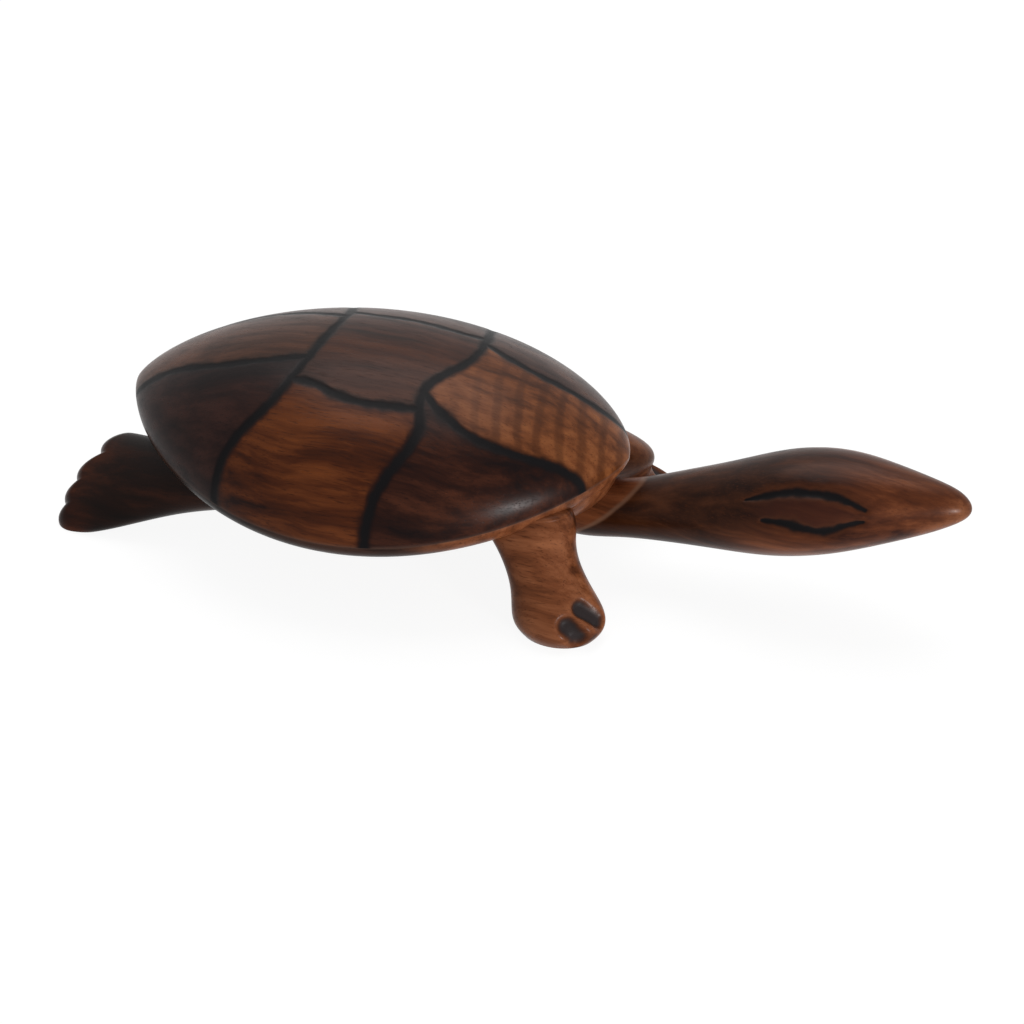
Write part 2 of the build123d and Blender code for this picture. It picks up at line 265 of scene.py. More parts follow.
# Wood of each piece: dark, middle and light colour, and how strongly bars cross the grain
woods = {
    "scute_right_rear": ((0.005, 0.0015, 0.0015), (0.015, 0.005, 0.004), (0.032, 0.011, 0.008), 0.0),
    "scute_center_rear": ((0.016, 0.005, 0.002), (0.048, 0.016, 0.007), (0.085, 0.030, 0.014), 0.0),
    "scute_left_rear": ((0.010, 0.003, 0.002), (0.032, 0.011, 0.006), (0.060, 0.022, 0.011), 0.0),
    "scute_right_middle": ((0.010, 0.002, 0.001), (0.052, 0.012, 0.003), (0.120, 0.032, 0.008), 0.0),
    "scute_center_middle": ((0.012, 0.004, 0.002), (0.040, 0.012, 0.006), (0.070, 0.023, 0.011), 0.0),
    "scute_left_middle": ((0.012, 0.004, 0.002), (0.040, 0.013, 0.006), (0.075, 0.025, 0.012), 0.0),
    "scute_right_front": ((0.004, 0.001, 0.001), (0.016, 0.004, 0.002), (0.046, 0.013, 0.006), 0.0),
    "scute_center_front": ((0.040, 0.011, 0.003), (0.125, 0.038, 0.012), (0.200, 0.068, 0.023), 0.55),
    "scute_left_front": ((0.010, 0.003, 0.002), (0.036, 0.013, 0.008), (0.070, 0.026, 0.014), 0.0),
    "shell_block": ((0.006, 0.002, 0.001), (0.020, 0.008, 0.005), (0.045, 0.018, 0.011), 0.0),
    "belly": ((0.036, 0.010, 0.003), (0.110, 0.033, 0.012), (0.190, 0.065, 0.026), 0.0),
    "neck_and_head": ((0.050, 0.014, 0.005), (0.140, 0.042, 0.016), (0.230, 0.078, 0.032), 0.0),
    "front_leg": ((0.034, 0.009, 0.003), (0.125, 0.038, 0.014), (0.220, 0.078, 0.033), 0.0),
    "hind_leg": ((0.003, 0.001, 0.0006), (0.009, 0.0025, 0.0012), (0.026, 0.007, 0.003), 0.0),
}

# Woods that some pieces run over to: between two places ahead of the origin, in millimetres. On the neck
# a place ahead is X - Z + neck_slant, so that its woods change across the rising neck
neck_slant = 10.5 * mm
further_woods = {
    "shell_block": [(-7.0, 1.0, (0.045, 0.014, 0.005), (0.130, 0.040, 0.015), (0.220, 0.078, 0.032))],
    "neck_and_head": [
        (13.2, 14.4, (0.012, 0.003, 0.001), (0.032, 0.009, 0.003), (0.068, 0.021, 0.008)),
        (22.0, 34.0, (0.022, 0.005, 0.002), (0.074, 0.020, 0.007), (0.150, 0.046, 0.017)),
        (42.0, 50.0, (0.050, 0.014, 0.005), (0.125, 0.042, 0.018), (0.200, 0.078, 0.036)),
    ],
    "hind_leg": [(-45.0, -51.5, (0.008, 0.002, 0.001), (0.028, 0.006, 0.002), (0.070, 0.017, 0.006))],
}

# Painted sheen in the crease round the neck's root, a pale line: where it starts, is full, fades and ends on
# the slant
painted_crease_sheen_places = (13.2 * mm, 13.7 * mm, 13.8 * mm, 14.3 * mm)

# Turn of the grain from the body's length
grain_turn = (0.0, radians(6), radians(4))

# Soft lamps: place and side in metres, and power in watts
lamps = {
    "overhead": ((-0.10, 0.25, 0.60), 0.5, 2.5),
    "front": ((0.53, -0.38, 0.06), 0.11, 3.4),
}

# Light of the sky, the open floor's glow where it is seen directly, that glow's share, and half the
# floor's side in metres
sky_strength = 0.38
glow_strength = 1.07
glow_share = 0.85
floor_reach = 1.5

# Camera: the photograph's view down and round from the right side, and its distance from the shell
view_down = radians(32)
view_round = radians(19)
view_distance = 300 * mm
view_right = 15.4 * mm
view_drop = 7.4 * mm


def natural_spline(knots, values, places):
    """Natural cubic spline through rows of values: on each span the second derivative runs
    straight from knot to knot, and it is nothing at both ends."""
    knots, values, places = (np.asarray(part, float) for part in (knots, values, places))
    steps = np.diff(knots)
    slopes = np.diff(values, axis=0) / steps[:, None]
    count = len(knots)
    matrix = np.eye(count)
    inner = np.arange(1, count - 1)
    matrix[inner, inner - 1] = steps[:-1]
    matrix[inner, inner] = 2 * (steps[:-1] + steps[1:])
    matrix[inner, inner + 1] = steps[1:]
    right = np.zeros_like(values)
    right[1:-1] = 6 * np.diff(slopes, axis=0)
    bends = np.linalg.solve(matrix, right)
    index = np.clip(np.searchsorted(knots, places) - 1, 0, count - 2)
    step = steps[index][:, None]
    before = (knots[index + 1] - places)[:, None]
    after = (places - knots[index])[:, None]
    curved = (bends[index] * before**3 + bends[index + 1] * after**3) / (6 * step)
    first = (values[index] / step - bends[index] * step / 6) * before
    second = (values[index + 1] / step - bends[index + 1] * step / 6) * after
    return curved + first + second


def nearest(points, samples):
    """Distance from each point to the nearest of the samples and that sample's number, from
    |p - s|2 = |p|2 + |s|2 - 2 p.s."""
    flat = points.reshape(-1, 3)
    distance = np.empty(len(flat))
    number = np.empty(len(flat), dtype=int)
    squares = (samples**2).sum(1)
    for part in np.array_split(np.arange(len(flat)), len(flat) // 4000 + 1):
        square = (flat[part] ** 2).sum(1)[:, None] + squares[None, :] - 2 * flat[part] @ samples.T
        number[part] = square.argmin(1)
        distance[part] = np.sqrt(np.maximum(square.min(1), 0))
    return distance.reshape(points.shape[:-1]), number.reshape(points.shape[:-1])


def unit(vectors):
    """Vectors of length one."""
    return vectors / np.maximum(np.linalg.norm(vectors, axis=-1, keepdims=True), tiny)


def ring_normals(grid):
    """Outward normals of a stack of rings: the cross product of the differences along both
    directions, turned away from the middle of the rings."""
    along = np.gradient(grid, axis=0)
    around = np.roll(grid, -1, axis=1) - np.roll(grid, 1, axis=1)
    normals = unit(np.cross(along, around))
    middle = len(grid) // 2
    away = grid[middle] - grid[middle].mean(0)
    return normals * np.sign((normals[middle] * away).sum())


def grid_quads(index):
    """One quad between each four neighbours in a grid of vertex numbers."""
    corners = [index[:-1, :-1], index[1:, :-1], index[1:, 1:], index[:-1, 1:]]
    return np.stack(corners, axis=-1).reshape(-1, 4)


def compact(quads):
    """The vertices that the quads use, and the quads in the new numbers of these vertices."""
    used, quads = np.unique(quads, return_inverse=True)
    return used, quads.reshape(-1, 4)


def ring_numbers(grid):
    """Vertex numbers of a stack of rings, of which the first and the last are one point each."""
    index = np.arange(grid.size // 3).reshape(grid.shape[:2])
    index[0], index[-1] = index[0, 0], index[-1, 0]
    return index


def ring_skin(index):
    """The vertices in use and the quads of a stack of rings, each of which closes on itself."""
    return compact(grid_quads(np.hstack([index, index[:, :1]])))


def make_piece(name, points, quads, marks, sharp=radians(40)):
    """A closed mesh from points and quads. A quad with two equal corners becomes a triangle, and
    all faces turn over if the volume, the sum of p0 . (p1 x p2) / 6, comes out negative."""
    same = quads == np.roll(quads, -1, axis=1)
    whole = quads[same.sum(1) == 0]
    pinched = quads[same.sum(1) == 1]
    thirds = pinched[~same[same.sum(1) == 1]].reshape(-1, 3)
    triangles = np.vstack([whole[:, [0, 1, 2]], whole[:, [0, 2, 3]], thirds])
    first, second, third = (points[triangles[:, corner]] for corner in range(3))
    volume = (first * np.cross(second, third)).sum() / 6
    if abs(volume) < tiny**2:
        raise RuntimeError(f"{name} encloses nothing")
    turn = -1 if volume < 0 else 1
    mesh = bpy.data.meshes.new(name)
    mesh.from_pydata(points.tolist(), [], whole[:, ::turn].tolist() + thirds[:, ::turn].tolist())
    for label, values in marks.items():
        layer = mesh.attributes.new(label, "FLOAT", "POINT")
        layer.data.foreach_set("value", np.ascontiguousarray(values, dtype=np.float32).ravel())
    mesh.shade_smooth()
    mesh.set_sharp_from_angle(angle=sharp)
    piece = bpy.data.objects.new(name, mesh)
    bpy.context.scene.collection.objects.link(piece)
    return piece


def finish_piece(piece, replaced, material):
    """The piece takes its wood, rides on the body and stands for its node."""
    piece.data.materials.append(material)
    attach(piece, "root")
    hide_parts(replaced)


def rim_at(shell, along):
    """Height of the rim, which rises with the square of the share along the length."""
    return shell.rim_height + shell.tip_lift * along**2


def dome_point(shell, along, aside, up, inset=0.0):
    """Dome over a unit hemisphere (along, aside, up). With c = sqrt(1 - along^2),
    x = half-length . along, y = half-width . c^side power . aside . (1 + front share . along) and
    z = rim + dome height . c^top power . up."""
    taper = np.sqrt(np.maximum(1 - along**2, 0))
    x = shell_x + (half_length - inset) * along
    y = (shell.width / 2 - inset) * taper**side_power * aside * (1 + front_share * along)
    z = rim_at(shell, along) + (dome_top - shell.rim_height - inset) * taper**top_power * up
    return np.stack([x, y, z], axis=-1)


def disc_point(shell, a, b, inset=0.0):
    """Dome point over a place (a, b) in a flat disc whose radius runs evenly with the angle from
    the top, so the rim is the unit circle."""
    radius = np.hypot(a, b)
    angle = radius * pi / 2
    spread = np.where(radius > tiny, np.sin(angle) / np.maximum(radius, tiny), pi / 2)
    return dome_point(shell, a * spread, b * spread, np.cos(angle), inset)


def disc_normal(shell, a, b, step=1e-4):
    """Outward normal of the dome, from central differences in the disc."""
    along = disc_point(shell, a + step, b) - disc_point(shell, a - step, b)
    across = disc_point(shell, a, b + step) - disc_point(shell, a, b - step)
    return unit(np.cross(along, across))


def groove_line(shares, samples=1500):
    """A groove's middle in the disc: a spline through its plan shares, laid on the hemisphere with
    aside = plan share / (c^side power (1 + front share . along)), and ended on the rim where it
    passes it."""
    shares = np.array(shares)
    knots = np.concatenate([[0], np.cumsum(np.hypot(*np.diff(shares, axis=0).T))])
    along, plan = natural_spline(knots, shares, np.linspace(0, knots[-1], samples)).T
    taper = np.sqrt(np.maximum(1 - along**2, tiny))
    aside = plan / (taper**side_power * (1 + front_share * along))
    inside = (np.abs(along) < 1) & (along**2 + aside**2 < 1)
    along_in, aside_in = along[inside], aside[inside]
    angle = np.arccos(np.sqrt(1 - along_in**2 - aside_in**2))
    spread = angle / (pi / 2) / np.maximum(np.sin(angle), tiny)
    line = np.stack([along_in * spread, aside_in * spread], axis=1)
    if not inside[0]:
        line = np.vstack([unit(line[:1]), line])
    if not inside[-1]:
        line = np.vstack([line, unit(line[-1:])])
    return line


def joined(line, cross, end):
    """The line, bent so that its end lies on the cross groove."""
    target = cross[np.argmin(np.hypot(*(cross - line[end]).T))]
    weight = np.linspace(0, 1, len(line)) ** 2
    weight = weight if end == -1 else weight[::-1]
    return line + (target - line[end]) * weight[:, None]


def stretch_of(line, start, stop):
    """The part of a line from the place nearest start to the place nearest stop."""
    first, last = (np.argmin(np.hypot(*(line - place).T)) for place in (start, stop))
    return line[first:last + 1] if first <= last else line[last:first + 1][::-1]


def rim_arc(start, stop, samples=200):
    """The short way round the rim between two places on it."""
    first, last = np.arctan2(start[1], start[0]), np.arctan2(stop[1], stop[0])
    turn = (last - first + pi) % (2 * pi) - pi
    angles = first + turn * np.linspace(0, 1, samples)
    return np.stack([np.cos(angles), np.sin(angles)], axis=1)


def spaced(line, shares):
    """Points at the given shares of a line's length."""
    lengths = np.concatenate([[0], np.cumsum(np.hypot(*np.diff(line, axis=0).T))])
    if lengths[-1] < tiny:
        return np.repeat(line[:1], len(shares), axis=0)
    places = shares * lengths[-1]
    return np.stack([np.interp(places, lengths, line[:, column]) for column in (0, 1)], axis=1)


def crowded(count, crowding=0.72):
    """Shares from nothing to one, closer together at both ends."""
    even = np.linspace(0, 1, count)
    return even - crowding * np.sin(2 * pi * even) / (2 * pi)


def patch(sides, rows=150, columns=120):
    """Coons patch between four lines: both ruled surfaces added, less the one through the corners."""
    near, far, start, stop = sides
    u, v = crowded(rows), crowded(columns)
    low, high = spaced(near, u)[:, None], spaced(far, u)[:, None]
    first, last = spaced(start, v)[None], spaced(stop, v)[None]
    u, v = u[:, None, None], v[None, :, None]
    ruled = (1 - v) * low + v * high + (1 - u) * first + u * last
    ends = (1 - u) * ((1 - v) * low[0] + v * high[0]) + u * ((1 - v) * low[-1] + v * high[-1])
    return ruled - ends


def scute_plan():
    """The four sides of each scute in the disc, and the grooves' middles."""
    crosses = {"rear": groove_line(rear_cross_shares), "front": groove_line(front_cross_shares)}
    lines = {name: groove_line(shares) for name, shares in long_groove_shares.items()}
    for side in ("right", "left"):
        lines[f"{side}_rear"] = joined(lines[f"{side}_rear"], crosses["rear"], -1)
        lines[f"{side}_middle"] = joined(lines[f"{side}_middle"], crosses["rear"], 0)
        lines[f"{side}_middle"] = joined(lines[f"{side}_middle"], crosses["front"], -1)
        lines[f"{side}_front"] = joined(lines[f"{side}_front"], crosses["front"], 0)
    sides = {}
    for row, way in (("rear", 1), ("front", -1)):
        cross = crosses[row]
        right, left = lines[f"right_{row}"][::way], lines[f"left_{row}"][::way]
        sides[f"center_{row}"] = (
            right, left, rim_arc(right[0], left[0]), stretch_of(cross, right[-1], left[-1]),
        )
        for side, line, corner in (("right", right, cross[-1]), ("left", left, cross[0])):
            point = np.repeat(line[:1], 2, axis=0)
            sides[f"{side}_{row}"] = (
                line, rim_arc(line[0], corner), point, stretch_of(cross, line[-1], corner),
            )
    rear, front = crosses["rear"], crosses["front"]
    right, left = lines["right_middle"], lines["left_middle"]
    sides["center_middle"] = (
        right, left, stretch_of(rear, right[0], left[0]), stretch_of(front, right[-1], left[-1]),
    )
    for side, line, end in (("right", right, -1), ("left", left, 0)):
        sides[f"{side}_middle"] = (
            line, rim_arc(rear[end], front[end]),
            stretch_of(rear, line[0], rear[end]), stretch_of(front, line[-1], front[end]),
        )
    return sides, [*crosses.values(), *lines.values()]


def groove_samples(shell, middles, per_line=320):
    """Places on the dome along every groove's middle."""
    plans = np.vstack([spaced(line, np.linspace(0, 1, per_line)) for line in middles])
    return disc_point(shell, plans[:, 0], plans[:, 1])


def groove_cut(shell, points, samples, radius):
    """Depth of the cut and strength of the burn: with d the distance to the nearest middle,
    depth = D (0.8 exp(-(d / reach)^3) + 0.2 exp(-(d / shoulder)^2)), and D wavers with the place
    and runs out towards the rim. Burn = exp(-(d / 1.5 reach)^2)."""
    distance = nearest(points, samples)[0]
    x, y = points[..., 0] / mm, points[..., 1] / mm
    waver = 1 + 0.10 * np.sin(0.9 * x + 1.3 * y) + 0.06 * np.sin(2.3 * x - 1.9 * y)
    reach = shell.groove_reach * (1 + 0.14 * np.sin(1.1 * x - 0.7 * y) + 0.10 * np.sin(2.9 * x + 2.1 * y))
    steep = np.exp(-((distance / reach) ** 3))
    broad = np.exp(-((distance / shell.shoulder_reach) ** 2))
    burn = np.exp(-((distance / (1.5 * reach)) ** 2))
    inward = np.clip((1 - radius) / runout_share, 0, 1)
    runout = inward**2 * (3 - 2 * inward)
    return shell.groove_depth * waver * runout * (0.8 * steep + 0.2 * broad), burn


def underside(shell, x, y):
    """Height of the shell's underside: the rim less a drop that grows as a quarter ellipse over
    the tuck, z = rim - drop sqrt(1 - (1 - inward / tuck)^2). The drop shrinks as c^0.6."""
    along = np.clip((x - shell_x) / half_length, -1, 1)
    taper = np.sqrt(1 - along**2)
    width = shell.width / 2 * taper ** (1 + side_power) * (1 + front_share * along)
    tuck = np.maximum(shell.rim_tuck * width / (shell.width / 2), tiny)
    inward = np.clip((width - np.abs(y)) / tuck, 0, 1)
    return rim_at(shell, along) - shell.rim_drop * taper**0.6 * np.sqrt(1 - (1 - inward) ** 2)


def section_spline(rows, places):
    """Columns of a table of shares at places along its first column."""
    table = np.array(rows)
    return natural_spline(table[:, 0], table[:, 1:], places).T


def mirrored(points):
    """The points on the other side of the midline."""
    return points * np.array([1, -1, 1])


class TURTLE_OT_scutes(bpy.types.Operator):
    """Carve the nine scutes between the burnt grooves"""
    bl_idname = "turtle.scutes"
    bl_label = "Scutes"

    def slab(self, plan):
        """Quads of a scute's face, of its bed and of the four walls between them. A face whose
        first row is all one place ends there in a point."""
        count = plan[..., 0].size
        over = np.arange(count).reshape(plan.shape[:2])
        if np.allclose(plan[0], plan[0, 0]):
            over[0] = over[0, 0]
        under = over + count
        walls = [
            grid_quads(np.stack([under[edge], over[edge]]))
            for edge in (np.s_[0], np.s_[-1], np.s_[:, 0], np.s_[:, -1])
        ]
        walls = [walls[0], walls[1][:, ::-1], walls[2][:, ::-1], walls[3]]
        return np.vstack([grid_quads(over), grid_quads(under)[:, ::-1], *walls])

    def execute(self, context):
        shell = context.scene.turtle_shell
        sides, middles = scute_plan()
        samples = groove_samples(shell, middles)
        for name, four in sides.items():
            plan = patch(four)
            a, b = plan[..., 0], plan[..., 1]
            radius = np.hypot(a, b)
            face = disc_point(shell, a, b)
            depth, burn = groove_cut(shell, face, samples, radius)
            top = face - disc_normal(shell, a, b) * depth[..., None]
            bed = disc_point(shell, a, b, shell.scute_thickness)
            # Painted highlight: strength of the pale line along the rim's edge
            painted_rim_highlight = np.exp(-(((1 - radius) / painted_rim_highlight_share) ** 2))
            used, quads = compact(self.slab(plan))
            points = np.vstack([top.reshape(-1, 3), bed.reshape(-1, 3)])[used]
            marks = {
                "burn": np.concatenate([burn.ravel(), np.ones(burn.size)])[used],
                "painted_rim_highlight": np.concatenate([painted_rim_highlight.ravel(), np.zeros(painted_rim_highlight.size)])[used],
            }
            scute = f"scute_{name}"
            piece = make_piece(f"{scute}_carved", points, quads, marks)
            finish_piece(piece, scute, wood(context, scute))
        return {"FINISHED"}


class TURTLE_OT_shell_block(bpy.types.Operator):
    """Turn the bed under the scutes and the rolled rim"""
    bl_idname = "turtle.shell_block"
    bl_label = "Shell block"

    def execute(self, context):
        shell = context.scene.turtle_shell
        angles = np.linspace(0, 2 * pi, 480, endpoint=False)
        cosines, sines = np.cos(angles), np.sin(angles)
        bed = [
            disc_point(shell, share * cosines, share * sines, shell.scute_thickness)
            for share in np.linspace(0, 1, 30)
        ]
        rim = disc_point(shell, cosines, sines)
        roll = shell.rim_tuck / (shell.width / 2)
        turns = np.linspace(0, pi / 2, 22)[1:]
        scales = np.concatenate([1 - roll * (1 - np.cos(turns)), np.linspace(1 - roll, 0, 16)[1:]])
        lower = []
        for scale in scales:
            x = shell_x + (rim[:, 0] - shell_x) * scale
            y = rim[:, 1] * scale
            lower.append(np.stack([x, y, underside(shell, x, y)], axis=-1))
        grid = np.stack([*bed, rim, *lower])
        used, quads = ring_skin(ring_numbers(grid))
        points = grid.reshape(-1, 3)[used]
        # Painted highlight: the pale line lies on the block's rim row
        painted_rim_highlight = np.zeros(grid.shape[:2])
        painted_rim_highlight[len(bed)] = 1
        marks = {"burn": np.zeros(len(points)), "painted_rim_highlight": painted_rim_highlight.ravel()[used]}
        piece = make_piece("shell_block_turned", points, quads, marks)
        finish_piece(piece, "shell_block", wood(context, "shell_block"))
        return {"FINISHED"}


class TURTLE_OT_belly(bpy.types.Operator):
    """Carve the keel of the belly under the shell"""
    bl_idname = "turtle.belly"
    bl_label = "Belly"

    def execute(self, context):
        shell, belly = context.scene.turtle_shell, context.scene.turtle_belly
        # From t = -1 to 1 the width grows as (1 - t^2)^0.4 and the depth as (1 - t^2)^0.3
        t = -np.cos(np.linspace(0, pi, 120))[:, None]
        turn = np.linspace(0, pi, 90)[None, :]
        round_off = np.maximum(1 - t**2, 0)
        x = belly.offset + belly.length / 2 * t
        top = rim_at(shell, x / half_length) - belly.top_gap
        bottom = belly.clearance + belly.end_rise * t**2
        width = belly.width * round_off**0.4
        depth = (top - bottom) * round_off**0.3
        across = -width / 2 * np.cos(turn)
        hull = np.stack([shell_x + x + 0 * turn, across, top - depth * np.sin(turn)], axis=-1)
        lid = np.stack([shell_x + x + 0 * turn, across, top + 0 * turn], axis=-1)[:, 1:-1]
        grid = np.concatenate([hull, lid[:, ::-1]], axis=1)
        used, quads = ring_skin(ring_numbers(grid))
        points = grid.reshape(-1, 3)[used]
        piece = make_piece("belly_carved", points, quads, {"burn": np.zeros(len(points))})
        finish_piece(piece, "belly", wood(context, "belly"))
        return {"FINISHED"}


class TURTLE_OT_neck_and_head(bpy.types.Operator):
    """Carve the neck and the leaf-shaped head, and cut the eyes"""
    bl_idname = "turtle.neck_and_head"
    bl_label = "Neck and head"

    def reach(self, head):
        """From the neck's root to the snout's tip."""
        return snout_x - shell_x - head.neck_start

    def section(self, head, shares):
        """Middle height, half-width and half-depth: a spline through the heights and through the
        squares of width and depth, so that the snout closes round."""
        tables = (
            (neck_shares, head.neck_width, head.neck_depth),
            (head_shares, head.head_width, head.head_depth),
        )
        rows = [
            (share, up, (wide * width) ** 2, (deep * depth) ** 2)
            for table, width, depth in tables
            for share, up, wide, deep in table
        ]
        up, wide, deep = section_spline(rows, shares)
        height = head.neck_height + (head.snout_height - head.neck_height) * up
        return height, np.sqrt(np.maximum(wide, 0)) / 2, np.sqrt(np.maximum(deep, 0)) / 2

    def lid(self, head, rows, samples=240):
        """Places along one lid of the right eye, and the share of the stroke's width at each: a
        spline through the lid's angles, wrapped on the head."""
        q = np.linspace(rows[0][0], rows[-1][0], samples)
        angle, share = section_spline(rows, q)
        angle = np.radians(angle)
        x = snout_x - head.eye_setback + head.eye_length / 2 * q
        height, wide, deep = self.section(head, (x - shell_x - head.neck_start) / self.reach(head))
        return np.stack([x, -wide * np.cos(angle), height + deep * np.sin(angle)], axis=-1), share

    def stroke(self, head, grid):
        """Strength of the eye strokes, exp(-(d / reach)^2) with d the distance to the nearest lid.
        The reach follows the lid's own shares and wavers along the head."""
        lids = [self.lid(head, rows) for rows in (upper_lid_shares, lower_lid_shares)]
        right = np.vstack([places for places, share in lids])
        width_shares = np.concatenate([share for places, share in lids] * 2)
        distance, number = nearest(grid, np.vstack([right, mirrored(right)]))
        waver = 1 + 0.12 * np.sin(1.7 * grid[..., 0] / mm) + 0.08 * np.sin(3.9 * grid[..., 0] / mm)
        return np.exp(-((distance / (head.stroke_reach * width_shares[number] * waver)) ** 2))

    def island(self, head, x, turn):
        """Strength of the plain wood between the lids of an eye, fading towards its edges."""
        q = (x - snout_x + head.eye_setback) / (head.eye_length / 2)
        angle = np.degrees(np.arctan2(np.cos(turn), np.abs(np.sin(turn))))
        tables = (lower_lid_shares, upper_lid_shares)
        low, high = (np.interp(q, *np.array(rows)[:, :2].T) for rows in tables)
        under_lid = np.clip((high - angle) / soft_degrees, 0, 1)
        over_lid = np.clip((angle - low) / soft_degrees, 0, 1)
        return over_lid * under_lid * np.clip((1 - np.abs(q)) / corner_share, 0, 1)

    def execute(self, context):
        head = context.scene.turtle_head
        shares = np.concatenate([
            np.linspace(0, 0.54, 90, endpoint=False), np.linspace(0.54, 0.84, 120, endpoint=False),
            np.linspace(0.84, 0.96, 36, endpoint=False), 1 - 0.04 * np.linspace(1, 0, 24) ** 2,
        ])
        turn = np.linspace(0, 2 * pi, 240, endpoint=False)[None, :]
        height, wide, deep = (part[:, None] for part in self.section(head, shares))
        x = shell_x + head.neck_start + self.reach(head) * shares[:, None]
        grid = np.stack([x + 0 * turn, wide * np.sin(turn), height + deep * np.cos(turn)], axis=-1)
        stroke = self.stroke(head, grid)
        carved = grid - ring_normals(grid) * (head.stroke_depth * stroke)[..., None]
        carved[0] = carved[0].mean(0)
        used, quads = ring_skin(ring_numbers(grid))
        marks = {"burn": stroke.ravel()[used], "island": self.island(head, x, turn).ravel()[used]}
        piece = make_piece("neck_and_head_carved", carved.reshape(-1, 3)[used], quads, marks)
        finish_piece(piece, "neck_and_head", wood(context, "neck_and_head"))
        return {"FINISHED"}


class TURTLE_OT_front_legs(bpy.types.Operator):
    """Carve the front legs and gouge their toes"""
    bl_idname = "turtle.front_legs"
    bl_label = "Front legs"

    def gouge(self, legs, upper, lower, samples=60):
        """Places from the upper to the lower end of a gouge on the right foot."""
        ends = [
            np.array([
                shell_x + legs.foot_reach + legs.foot_length * along,
                -legs.foot_spread + legs.foot_width * aside,
                legs.shoulder_height * up,
            ])
            for along, aside, up in (upper, lower)
        ]
        return ends[0] + (ends[1] - ends[0]) * np.linspace(0, 1, samples)[:, None]

    def profile(self):
        """Shares of the height, lean, length and width: a spline from the sole up, then a cap whose
        length and width shrink as sqrt(1 - t^2)."""
        last = front_leg_shares[-1][0]
        heights = np.linspace(0, last, 110)
        lean, long, wide = section_spline(front_leg_shares, heights)
        cap = np.linspace(0, 1, 12)[1:]
        shrink = np.sqrt(1 - cap**2)
        heights = np.concatenate([heights, last + (1 - last) * cap])
        lean = np.concatenate([lean, np.full(len(cap), lean[-1])])
        long = np.concatenate([long, long[-1] * shrink])
        wide = np.concatenate([wide, wide[-1] * shrink])
        return heights, lean, long, wide

    def swell(self, legs, points, bows):
        """Push of each point along X: the sum of strength . exp(-((height - middle) / reach)^2),
        times how far towards the leg's front the point lies."""
        share = points[:, 2] / legs.shoulder_height
        ahead = points[:, 0] - shell_x - legs.foot_reach + (legs.foot_reach - legs.shoulder_reach) * share
        front = np.clip(0.5 + ahead / legs.foot_length, 0, 1)[:, None] * np.array([1, 0, 0])
        push = sum(
            strength * np.exp(-(((share - middle) / reach) ** 2)) for middle, reach, strength in bows
        )
        return push[:, None] * front

    def execute(self, context):
        legs = context.scene.turtle_front_legs
        heights, lean, long, wide = (part[:, None] for part in self.profile())
        turn = np.linspace(0, 2 * pi, 200, endpoint=False)[None, :]
        x = shell_x + (legs.foot_reach + (legs.shoulder_reach - legs.foot_reach) * lean)
        y = -(legs.foot_spread + (legs.shoulder_spread - legs.foot_spread) * lean)
        body = np.stack([
            x + legs.foot_length / 2 * long * np.cos(turn),
            y + legs.foot_width / 2 * wide * np.sin(turn),
            legs.shoulder_height * heights + 0 * turn,
        ], axis=-1)
        sole = body[:1].mean(1, keepdims=True) + 0 * body[:1]
        grid = np.concatenate([sole, body])
        gouges = np.vstack([self.gouge(legs, *ends) for ends in toe_gouge_shares])
        cut = np.exp(-((nearest(grid, gouges)[0] / legs.gouge_reach) ** 4))
        # The sole and its edge stay flat
        cut[:3] = 0
        carved = grid - ring_normals(grid) * (legs.gouge_depth * cut)[..., None]
        used, quads = ring_skin(ring_numbers(grid))
        points = carved.reshape(-1, 3)[used]
        right = points + legs.near_fullness * self.swell(legs, points, near_swell_shares)
        left = mirrored(points) + legs.far_fullness * self.swell(legs, points, far_swell_shares)
        material = wood(context, "front_leg")
        for side, place in (("right", right), ("left", left)):
            piece = make_piece(f"front_{side}_leg_carved", place, quads, {"burn": cut.ravel()[used]})
            finish_piece(piece, f"front_{side}_leg", material)
        return {"FINISHED"}


